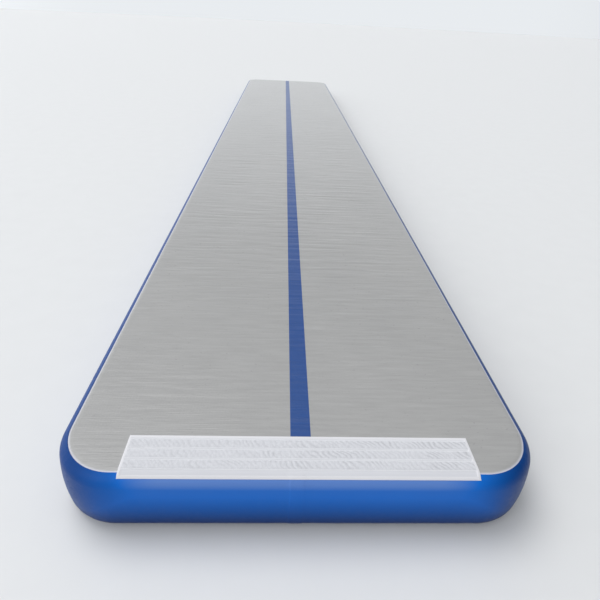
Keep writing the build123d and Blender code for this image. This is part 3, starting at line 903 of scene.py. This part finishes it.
def patch_layer(name, x, run, top, under, material, tone=None):
    """A layer of cloth on the near end's deck and shoulder, from grids of places and depths."""
    x, run = np.meshgrid(x, run, indexing="ij")
    sides = [flat_points(over_shoulder(x, run, level(x, run))) for level in (top, under)]
    return cloth_layer(name, *sides, grid_quads(*x.shape), cloth_at(x, run), material, tone)


def pad_piece():
    """The white pad itself, which goes over the deck, the seam and the band."""
    x = np.linspace(-PAD_HALF, PAD_HALF, PAD_COLUMNS)
    run = np.linspace(PAD_BACK_RUN, PAD_FRONT_RUN, PAD_ROWS)
    piece = patch_layer("joining_pad", x, run, pad_top, pad_under, pad_cloth)
    return piece


def hem_path():
    """Places round the pad's outline: points, and inward steps that are mitred at the corners."""
    corners = [(-1, -1), (1, -1), (1, 1), (-1, 1)]
    ends = {-1: PAD_BACK_RUN, 1: PAD_FRONT_RUN}
    places, inward = [], []
    for (a, b), (c, d) in zip(corners, corners[1:] + corners[:1]):
        start = np.array([a * PAD_HALF, ends[b]])
        end = np.array([c * PAD_HALF, ends[d]])
        length = np.abs(end - start).sum()
        direction = (end - start) / length
        side = np.array([-direction[1], direction[0]])
        places.append(start)
        inward.append(direction + side)
        for walked in np.linspace(HEM_WIDTH, length - HEM_WIDTH, max(3, round(length / (7 * MM)))):
            places.append(start + direction * walked)
            inward.append(side)
    return np.array(places), np.array(inward)


def hem_piece():
    """The binding folded over the pad's edge all round."""
    places, inward = hem_path()
    # Across the binding: how far in from the pad's edge, how far proud of the pad, and the share of the way
    # down to its underside
    profile = np.array([
        (HEM_WIDTH, 0.02 * MM, 0), (HEM_WIDTH - 0.6 * MM, HEM_CLOTH, 0), (HEM_WIDTH / 2, 1.5 * HEM_CLOTH, 0),
        (1.2 * MM, 1.3 * HEM_CLOTH, 0), (0, 0.5 * HEM_CLOTH, 0), (-0.35 * MM, 0, 0.35), (-0.35 * MM, 0, 1),
    ])
    offset, proud, down = profile.T
    spot = places[:, None, :] + inward[:, None, :] * offset[None, :, None]
    x, run = spot[..., 0], spot[..., 1]
    inner_spot = places[:, None, :] + inward[:, None, :] * np.maximum(offset, 0.05 * MM)[None, :, None]
    surface, floor = pad_top(x, run), pad_under(x, run)
    outer_depth = (surface - proud) * (1 - down) + floor * down
    inner_depth = (surface + 0.05 * MM) * (1 - down) + floor * down
    outer = flat_points(over_shoulder(x, run, outer_depth))
    inner = flat_points(over_shoulder(inner_spot[..., 0], inner_spot[..., 1], inner_depth))
    quads = grid_quads(len(places), len(profile), wrap=True)
    return cloth_layer("joining_pad_hem", outer, inner, quads, cloth_at(x, run), pad_hem)


def tape_creases(x, run, back, seed):
    """How deeply a tape is creased, from 0 to 1: slanting creases, deeper towards +X and in patches."""
    phase = (x - PUCKER_SLANT * (run - back)) / PUCKER_PITCH
    phase = phase + 1.0 * noise(x / 0.09, run / 0.05, seed) + 0.25 * noise(x / 0.02, run / 0.015, seed + 3)
    crease = 1 - np.abs(np.sin(pi * phase)) ** 0.7
    strength = 0.45 + 0.55 * fade(x, -0.5, 0.45)
    patchy = 0.4 + 0.6 * fade(noise(x / 0.06, run / 0.03, seed + 1), -0.6, 0.5)
    return crease * strength * patchy


def tape_relief(x, run, back, front, seed):
    """The tape's height: a thin selvage at both edges, and between them the hooks, with creases in them."""
    to_edge = np.minimum(run - back, front - run)
    hooks = fade(to_edge, SELVAGE_WIDTH, SELVAGE_WIDTH + 2 * MM)
    between = fade(to_edge, SELVAGE_WIDTH, 4 * SELVAGE_WIDTH)
    lumps = 0.5 + 0.5 * noise(x / 0.012, run / 0.010, seed + 2)
    puckers = PUCKER_HEIGHT * (0.7 - tape_creases(x, run, back, seed)) + 0.2 * MM * lumps
    return SELVAGE_CLOTH + (TAPE_THICKNESS - SELVAGE_CLOTH) * hooks + np.maximum(puckers, 0) * between


def tape_tone(x, run, back, front, seed):
    """The tape's colour: 0 down in a crease, where the material paints shade, a half on the hooks, 1 on the
    selvages.
    """
    to_edge = np.minimum(run - back, front - run)
    selvage = fade(to_edge, SELVAGE_WIDTH + 2 * MM, SELVAGE_WIDTH)
    between = fade(to_edge, SELVAGE_WIDTH, 3 * SELVAGE_WIDTH)
    return 0.5 + 0.5 * selvage - 0.5 * between * tape_creases(x, run, back, seed)


def tape_runs(node):
    """Where a row of hook tape starts and ends down the pad."""
    low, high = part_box(node)
    back = -(high.y + HALF_LENGTH - SHOULDER_INSET)
    inset = low.y + HALF_LENGTH
    if inset >= SHOULDER_INSET:
        return back, SHOULDER_INSET - inset
    return back, asin((SHOULDER_INSET - inset) / (SHOULDER_RADIUS + PAD_RISE)) * SHOULDER_RADIUS


def tape_piece(row, node):
    """One row of hook tape. Also returns where it starts and ends down the pad, and its half width."""
    back, front = tape_runs(node)
    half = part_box(node)[1].x
    x = np.linspace(-half, half, TAPE_COLUMNS)
    selvage = np.linspace(0, SELVAGE_WIDTH + 2 * MM, 5)
    hooks = np.linspace(SELVAGE_WIDTH + 2 * MM, front - back - SELVAGE_WIDTH - 2 * MM, 14)[1:-1]
    run = np.concatenate([back + selvage, back + hooks, front - selvage[::-1]])
    seed = TAPE_SEED + 5 * row

    def top(x, run):
        return -PAD_RISE - lap_bump(x, run) - 0.3 * MM - tape_relief(x, run, back, front, seed)

    def under(x, run):
        return pad_top(x, run) - 0.05 * MM

    tone = tape_tone(x[:, None], run[None, :], back, front, seed).ravel()
    piece = patch_layer(f"{node}_strip", x, run, top, under, hook_tape, tone)
    return piece, back, front, half


def stitch_row(start, end, level):
    """The two ends of each stitch in a straight row over the pad. Start and end are an x and a run each."""
    start, end = np.array(start), np.array(end)
    length = float(np.hypot(*(end - start)))
    count = int(length / STITCH_PITCH)
    share = (np.arange(count) + 0.5) / count
    spot = start + (end - start) * share[:, None]
    direction = (end - start) / length
    reach = direction * STITCH_LENGTH / 2
    ends = []
    for side in (-1, 1):
        place = spot + side * reach
        ends.append(over_shoulder(place[:, 0], place[:, 1], level(place[:, 0], place[:, 1])))
    return np.stack(ends, axis=1)


def stitches_piece(rows):
    """All the pad's stitches, each a small round-ended length of thread."""
    ends = np.concatenate(rows)
    start, along = ends[:, 0], ends[:, 1] - ends[:, 0]
    unit = along / np.linalg.norm(along, axis=1, keepdims=True)
    across = np.cross(unit, (0.0, 0.0, 1.0))
    across /= np.linalg.norm(across, axis=1, keepdims=True)
    above = np.cross(across, unit)
    points = []
    for share, thick in STITCH_RINGS:
        for i in range(STITCH_SIDES):
            turn = tau * i / STITCH_SIDES
            offset = (across * cos(turn) + above * sin(turn)) * STITCH_RADIUS * thick
            points.append(start + along * share + offset)
    points = np.stack(points, axis=1)
    rings = len(STITCH_RINGS)
    index = np.arange(rings * STITCH_SIDES).reshape(rings, STITCH_SIDES)
    index = np.column_stack([index, index[:, :1]])
    corners = (index[:-1, :-1], index[1:, :-1], index[1:, 1:], index[:-1, 1:])
    quads = np.stack([c.ravel() for c in corners], axis=1)
    caps = np.array([(0, 1, 2, 3), (0, 3, 4, 5)])
    far_caps = caps[:, ::-1] + (rings - 1) * STITCH_SIDES
    quads = np.concatenate([quads, caps, far_caps])
    faces = repeated(quads, *points.shape[:2])
    flat = flat_points(points)
    return new_piece("joining_pad_stitches", flat, faces, flat[:, :2], thread, sharp=80)


def pad_stitch_rows(tapes):
    """Two rows on each hook tape, and one round the hem."""
    rows = []

    def on_tape(x, run):
        return -PAD_RISE - lap_bump(x, run) - 0.3 * MM - SELVAGE_CLOTH - 0.2 * MM

    def on_hem(x, run):
        return pad_top(x, run) - 1.45 * HEM_CLOTH

    for back, front, half in tapes:
        end = half - STITCH_INSET
        for run in (back + STITCH_INSET / 2, front - STITCH_INSET / 2):
            rows.append(stitch_row((-end, run), (end, run), on_tape))
    inset = HEM_WIDTH - 3 * MM
    left, right = inset - PAD_HALF, PAD_HALF - inset
    back, front = PAD_BACK_RUN + inset, PAD_FRONT_RUN - inset
    outline = [(left, back), (right, back), (right, front), (left, front)]
    for start, end in zip(outline, outline[1:] + outline[:1]):
        rows.append(stitch_row(start, end, on_hem))
    return rows


# ---------------------------------------------------------------- valve patch, spring and yarns

def valve_patch_piece():
    """The reinforcing disc round the valve, bent to the bow of the end wall, with a rounded edge."""
    flat_part = np.linspace(WALL_HOLE_RADIUS, VALVE_PATCH_RADIUS - 2 * MM, 14)
    reach = np.concatenate([flat_part, VALVE_PATCH_RADIUS - np.array([1, 0.4, 0]) * MM])
    edge = np.concatenate([np.ones(len(flat_part)), [0.93, 0.7, 0.25]])
    turn = np.linspace(0, tau, 97)[:-1]
    across = reach[None, :] * np.cos(turn)[:, None]
    up = reach[None, :] * np.sin(turn)[:, None]
    glue_marks = 0.18 * MM * (0.5 + 0.5 * noise(across / 0.02, up / 0.02, PATCH_SEED))
    sides = []
    for proud in (GLUE + (VALVE_PATCH_CLOTH + glue_marks) * edge, GLUE):
        back = HALF_LENGTH - WALL_RADIUS + np.sqrt((WALL_RADIUS + proud) ** 2 - up**2)
        sides.append(flat_points(np.stack([VALVE_X + across, back, MID_HEIGHT + up], axis=-1)))
    quads = grid_quads(len(turn), len(reach), wrap=True)
    piece = cloth_layer("valve_patch_disc", *sides, quads, cloth_at(across, up), band_cloth)
    return piece


def spring_piece():
    """The valve's return spring: round wire, with the end turns wound closer. Also returns its box."""
    low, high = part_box("valve_spring")
    coil = (high.x - low.x) / 2 - SPRING_WIRE_RADIUS
    share = np.linspace(0, 1, 24 * SPRING_TURNS + 1)
    turn = tau * SPRING_TURNS * share
    climb = share - SPRING_CLOSED_ENDS * np.sin(tau * share) / tau
    room = high.y - low.y - 2 * SPRING_WIRE_RADIUS
    out = np.stack([np.cos(turn), np.zeros_like(turn), np.sin(turn)], axis=1)
    centre = coil * out
    centre[:, 1] = low.y + SPRING_WIRE_RADIUS + room * climb
    forward = np.gradient(centre, axis=0)
    forward /= np.linalg.norm(forward, axis=1, keepdims=True)
    over = np.cross(forward, out)
    round_wire = np.linspace(0, tau, 13)[:-1]
    reach = np.cos(round_wire)[:, None, None] * out + np.sin(round_wire)[:, None, None] * over
    points = flat_points(centre + SPRING_WIRE_RADIUS * reach)
    points += ((low.x + high.x) / 2, 0, (low.z + high.z) / 2)
    quads = grid_quads(len(round_wire), len(share), wrap=True)
    fan = [(0, i, i + 1, i + 2) for i in range(1, len(round_wire) - 1, 2)]
    caps = np.array(fan) * len(share)
    quads = np.concatenate([quads, caps, caps[:, ::-1] + len(share) - 1])
    piece = new_piece("valve_return_spring", points, quads, points[:, [0, 1]], spring_steel, sharp=80)
    return piece, low, high


def yarn_end(x, y, height, start):
    """The points of one end of a bundle, which twists round the bundle's middle and swells at mid-height."""
    rise = np.linspace(0, 1, len(height))
    swing = start + 1.5 * tau * rise
    reach = (YARN_RADIUS - YARN_END_RADIUS) * (0.5 + 0.5 * np.sin(pi * rise))
    centre = np.stack([x + reach * np.cos(swing), y + reach * np.sin(swing)], axis=1)
    turn = tau * np.arange(YARN_SIDES) / YARN_SIDES
    ring = YARN_END_RADIUS * np.stack([np.cos(turn), np.sin(turn)], axis=1)
    plan = ring[:, None, :] + centre[None, :, :]
    levels = np.broadcast_to(height[None, :, None], (YARN_SIDES, len(height), 1))
    return flat_points(np.concatenate([plan, levels], axis=-1))


def yarns_piece():
    """The bundles of spacer yarn between the skins: a few twisted ends in each."""
    low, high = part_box("spacer_yarns")
    middle = (low + high) / 2
    grid = []
    for start, end in ((low.x, high.x), (low.y, high.y)):
        half = (end - start) / 2 - YARN_RADIUS
        grid.append(np.linspace(-half, half, round(2 * half / YARN_PITCH) + 1))
    height = np.linspace(low.z, high.z, YARN_LEVELS)
    draw = np.random.default_rng(YARN_SEED)
    points = []
    for x in middle.x + grid[0]:
        for y in middle.y + grid[1]:
            start = draw.uniform(0, tau)
            points += [yarn_end(x, y, height, start + tau * k / YARN_ENDS) for k in range(YARN_ENDS)]
    quads = grid_quads(YARN_SIDES, YARN_LEVELS, wrap=True)
    foot = np.arange(YARN_SIDES) * YARN_LEVELS
    quads = np.concatenate([quads, [foot], [foot[::-1] + YARN_LEVELS - 1]])
    faces = repeated(quads, len(points), len(points[0]))
    points = np.concatenate(points)
    return new_piece("spacer_yarn_bundles", points, faces, points[:, [0, 2]], yarn, sharp=80)


# ---------------------------------------------------------------- the pieces

inner_wall = ring_piece(
    "inner_sidewall_cloth", section_angles(BUTT_ANGLE, shoulder_step=8), SKIN_DEPTH, SKIN_CLOTH,
    hole_at=ring_walk_to_valve(),
)
settle(inner_wall, "mat", "inner_cloth", "inner_sidewall")
for level, side in (("top", 1), ("bottom", -1)):
    angles = side * np.linspace(*EDGE_TAPE_ANGLES, 6)
    strip = ring_piece(f"{level}_edge_strip", angles, TAPE_DEPTH, TAPE_CLOTH)
    settle(strip, "mat", "inner_cloth", f"{level}_edge_tape")
settle(join_strip_piece(), "mat", "inner_cloth", "inner_sidewall_join_tape")

settle(yarns_piece(), "mat", "yarn", "spacer_yarns")
settle(skin_piece("deck", True, DECK_SEED), "mat", "deck_cloth", "top_skin")
settle(skin_piece("underside", False, UNDERSIDE_SEED), "mat", "deck_cloth", "bottom_skin")
settle(band_piece("side_band_left", False, LEFT_BAND_SEED), "mat", "band_cloth", "left_sidewall")
settle(band_piece("side_band_right", True, RIGHT_BAND_SEED), "mat", "band_cloth", "right_sidewall")
settle(line_piece(), "mat", "line_film", "centre_line")

tape_places = []
for row, node in enumerate(("hook_tape_back", "hook_tape_middle", "hook_tape_front")):
    tape, *tape_place = tape_piece(row, node)
    settle(tape, "mat", "hook_tape", node)
    tape_places.append(tape_place)
hem = hem_piece()
stitches = stitches_piece(pad_stitch_rows(tape_places))
for piece in (hem, stitches):
    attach(piece, "mat")
settle(pad_piece(), "mat", "pad_cloth", "joining_pad_base")
settle(valve_patch_piece(), "mat", "band_cloth", "valve_patch")

# The spring, which grows shorter as the stem is pushed in, gets a mesh of its own
spring, spring_low, spring_high = spring_piece()
settle(spring, "mat", "spring_steel", "valve_spring")
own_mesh(spring)

node_materials = {
    "valve_body": valve_plastic,
    "valve_clamp_nut": valve_plastic,
    "valve_stem": valve_plastic,
    "valve_stem_retainer": valve_plastic,
    "valve_cap": cap_plastic,
    "valve_cap_tether": cap_plastic,
    "valve_outer_gasket": valve_rubber,
    "valve_inner_gasket": valve_rubber,
    "valve_seal": valve_rubber,
    "valve_cap_seal": valve_rubber,
    "valve_seal_washer": spring_steel,
}
for node, material in node_materials.items():
    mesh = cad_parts[node].data
    mesh.materials.clear()
    mesh.materials.append(material)


# ---------------------------------------------------------------- floor, light and camera

def make_floor():
    """A plain pale studio floor, wide enough to reach the horizon."""
    s = Shader("floor")
    speck = s.noise((6, 6, 6), detail=5, on_cloth=False)
    s.set(Base_Color=s.mix(speck, colour(0.71, 0.71, 0.71), colour(0.74, 0.74, 0.74)), Roughness=0.6)
    radius, sides = 120.0, 64
    turn = tau * np.arange(sides) / sides
    points = [(radius * cos(t), radius * sin(t), -0.5 * MM) for t in turn]
    mesh = bpy.data.meshes.new("floor")
    mesh.from_pydata(points, [], [tuple(range(sides))])
    mesh.materials.append(s.material)
    floor = bpy.data.objects.new("floor", mesh)
    bpy.context.scene.collection.objects.link(floor)


def add_sun(name, heading, strength, width):
    """A distant soft light that shines along a heading. Width is how large it looks, in degrees."""
    light = bpy.data.lights.new(name, "SUN")
    light.energy, light.angle = strength, radians(width)
    sun = bpy.data.objects.new(name, light)
    sun.rotation_euler = Vector(heading).to_track_quat("-Z", "Y").to_euler()
    bpy.context.scene.collection.objects.link(sun)


def light_room():
    """A soft studio: the light comes over the far end from the left, with a weaker fill from the front."""
    world = bpy.data.worlds.new("studio")
    bpy.context.scene.world = world
    world.use_nodes = True
    sky = Nodes(world.node_tree)
    towards = sky.node("ShaderNodeTexCoord").outputs["Generated"]

    def glow(direction, start, end, amount, least=0.0):
        """Brighter towards a direction. Start and end are the cosines of the angle from it."""
        facing = sky.node("ShaderNodeVectorMath", {0: towards, 1: direction}, operation="DOT_PRODUCT")
        return sky.span(facing.outputs["Value"], start, end, least, amount, smooth=True)

    far_end = sky.math("MULTIPLY", glow((-0.3, 0.95, 0), -0.1, 0.75, 1.0), glow((0, 0, 1), 0.44, 0.08, 1.92))
    far_end = sky.math("MULTIPLY", far_end, glow((0, 0, 1), 0.04, 0.10, 1.0, least=0.38))
    above = glow((-0.30, 0.1, 0.95), 0.1, 1.0, 0.55)
    front = glow((-0.45, -0.85, 0.28), 0.3, 1.0, 0.35)
    left = glow((-0.96, 0.1, 0.25), 0.4, 1.0, 0.45)
    light = sky.math("ADD", sky.math("ADD", far_end, above), sky.math("ADD", front, left))
    light = sky.math("ADD", light, 0.14)
    background = world.node_tree.nodes["Background"]
    background.inputs["Color"].default_value = colour(0.93, 0.965, 1.0)
    world.node_tree.links.new(light, background.inputs["Strength"])
    add_sun("key", (0.30, -0.30, -0.90), 1.15, 36)
    add_sun("fill", (0.58, 0.62, -0.55), 0.62, 40)


def aim_camera():
    """The photograph's view: from in front of the near end, a little above a standing eye."""
    lens, place = 28.0, (-0.1107, -7.1435, 1.8346)
    pitch, yaw, roll = (radians(a) for a in (29.53, 3.092, 2.968))
    ahead = Vector((sin(yaw) * cos(pitch), cos(yaw) * cos(pitch), -sin(pitch)))
    level = Vector((cos(yaw), -sin(yaw), 0))
    above = level.cross(ahead)
    right = level * cos(roll) + above * sin(roll)
    up = above * cos(roll) - level * sin(roll)
    data = bpy.data.cameras.new("camera")
    data.lens, data.sensor_width = lens, 36.0
    data.shift_y = -0.0363  # the photograph is cut off-centre
    camera = bpy.data.objects.new("camera", data)
    axes = Matrix((right, up, -ahead)).transposed().to_4x4()
    camera.matrix_world = Matrix.Translation(place) @ axes
    bpy.context.scene.collection.objects.link(camera)
    bpy.context.scene.camera = camera


make_floor()
light_room()
aim_camera()
bpy.context.scene.view_settings.view_transform = "Standard"
